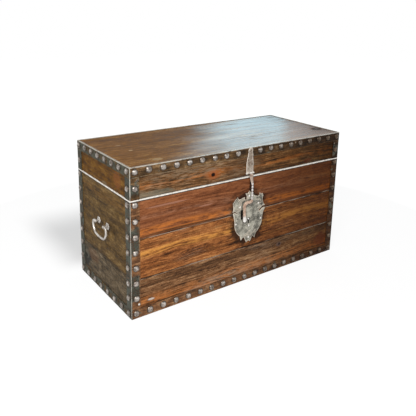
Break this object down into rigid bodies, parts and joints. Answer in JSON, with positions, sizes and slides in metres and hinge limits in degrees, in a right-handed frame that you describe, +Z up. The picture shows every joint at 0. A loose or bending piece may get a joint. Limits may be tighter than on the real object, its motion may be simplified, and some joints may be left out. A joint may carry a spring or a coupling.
{
  "type": "chest",
  "caption": "Low wooden plank chest bound with iron straps and dome nails, with a hinged lid, a hasp over a cut lock plate, and a bail handle on each side.",
  "frame": {"origin": "middle of the underside, on the surface the chest stands on", "axes": "+X to the chest's right seen from the front, +Y to its back, +Z up"},
  "size_m": [1.0594, 0.4638, 0.558],
  "materials": {
    "stained_wood": "old planks, stained red-brown and varnished",
    "strap_iron": "dark wrought strap, worn at its edges",
    "bright_rim_iron": "edge worn bright",
    "dome_nail_iron": "hammered dome heads, greasy grey",
    "hasp_iron": "forged, rubbed bright",
    "lock_plate_iron": "hammered sheet, grey patina with pale edges",
    "lock_iron": "dark sheet iron",
    "handle_iron": "rod rubbed bright by hands"
  },
  "bodies": {
    "base": {"base_back_plank_bottom": "stained_wood", "base_back_plank_middle": "stained_wood", "base_back_plank_top": "stained_wood", "base_bottom_strip_back": "strap_iron", "base_bottom_strip_front": "strap_iron", "base_bottom_strip_left": "strap_iron", "base_bottom_strip_right": "strap_iron", "base_corner_back_left": "strap_iron", "base_corner_back_right": "strap_iron", "base_corner_front_left": "strap_iron", "base_corner_front_right": "strap_iron", "base_dome_nails": "dome_nail_iron", "base_front_plank_bottom": "stained_wood", "base_front_plank_middle": "stained_wood", "base_front_plank_top": "stained_wood", "base_left_plank_bottom": "stained_wood", "base_left_plank_top": "stained_wood", "base_right_plank_bottom": "stained_wood", "base_right_plank_top": "stained_wood", "base_rim_strip_back": "bright_rim_iron", "base_rim_strip_front": "bright_rim_iron", "base_rim_strip_left": "bright_rim_iron", "base_rim_strip_right": "bright_rim_iron", "base_small_nails": "dome_nail_iron", "floor_board_1": "stained_wood", "floor_board_2": "stained_wood", "floor_board_3": "stained_wood", "handle_posts": "handle_iron", "handle_rosettes": "handle_iron", "hinge_pins": "strap_iron", "left_hinge_base_leaf": "strap_iron", "lock_case": "lock_iron", "lock_plate": "lock_plate_iron", "right_hinge_base_leaf": "strap_iron"},
    "lid": {"hasp_pin": "hasp_iron", "hasp_strap": "hasp_iron", "left_hinge_lid_leaf": "strap_iron", "lid_back_rail": "stained_wood", "lid_corner_back_left": "strap_iron", "lid_corner_back_right": "strap_iron", "lid_corner_front_left": "strap_iron", "lid_corner_front_right": "strap_iron", "lid_dome_nails": "dome_nail_iron", "lid_edge_strap_back": "strap_iron", "lid_edge_strap_front": "strap_iron", "lid_edge_strap_left": "strap_iron", "lid_edge_strap_right": "strap_iron", "lid_front_rail": "stained_wood", "lid_left_rail": "stained_wood", "lid_right_rail": "stained_wood", "lid_small_nails": "dome_nail_iron", "lid_top_board_1": "stained_wood", "lid_top_board_2": "stained_wood", "lid_top_board_3": "stained_wood", "right_hinge_lid_leaf": "strap_iron"},
    "hasp": {"hasp_arm": "hasp_iron", "hasp_staple": "hasp_iron"},
    "bolt": {"lock_bolt": "lock_iron"},
    "left_bail": {"left_handle_bail": "handle_iron"},
    "right_bail": {"right_handle_bail": "handle_iron"}
  },
  "joints": [
    {"name": "lid_hinge", "type": "hinge", "parent": "base", "child": "lid", "pos_m": [0, 0.2255, 0.443], "axis": [-1, 0, 0], "range_deg": [0, 110]},
    {"name": "hasp_swing", "type": "hinge", "parent": "lid", "child": "hasp", "pos_m": [0.0055, -0.2243, 0.456], "axis": [-1, 0, 0], "range_deg": [0, 150]},
    {"name": "lock_bolt_slide", "type": "slide", "parent": "base", "child": "bolt", "axis": [-1, 0, 0], "range_m": [0, 0.01]},
    {"name": "left_bail_swing", "type": "hinge", "parent": "base", "child": "left_bail", "pos_m": [-0.5235, 0, 0.287], "axis": [0, 1, 0], "range_deg": [-9, 189]},
    {"name": "right_bail_swing", "type": "hinge", "parent": "base", "child": "right_bail", "pos_m": [0.5235, 0, 0.287], "axis": [0, -1, 0], "range_deg": [-9, 189]}
  ]
}
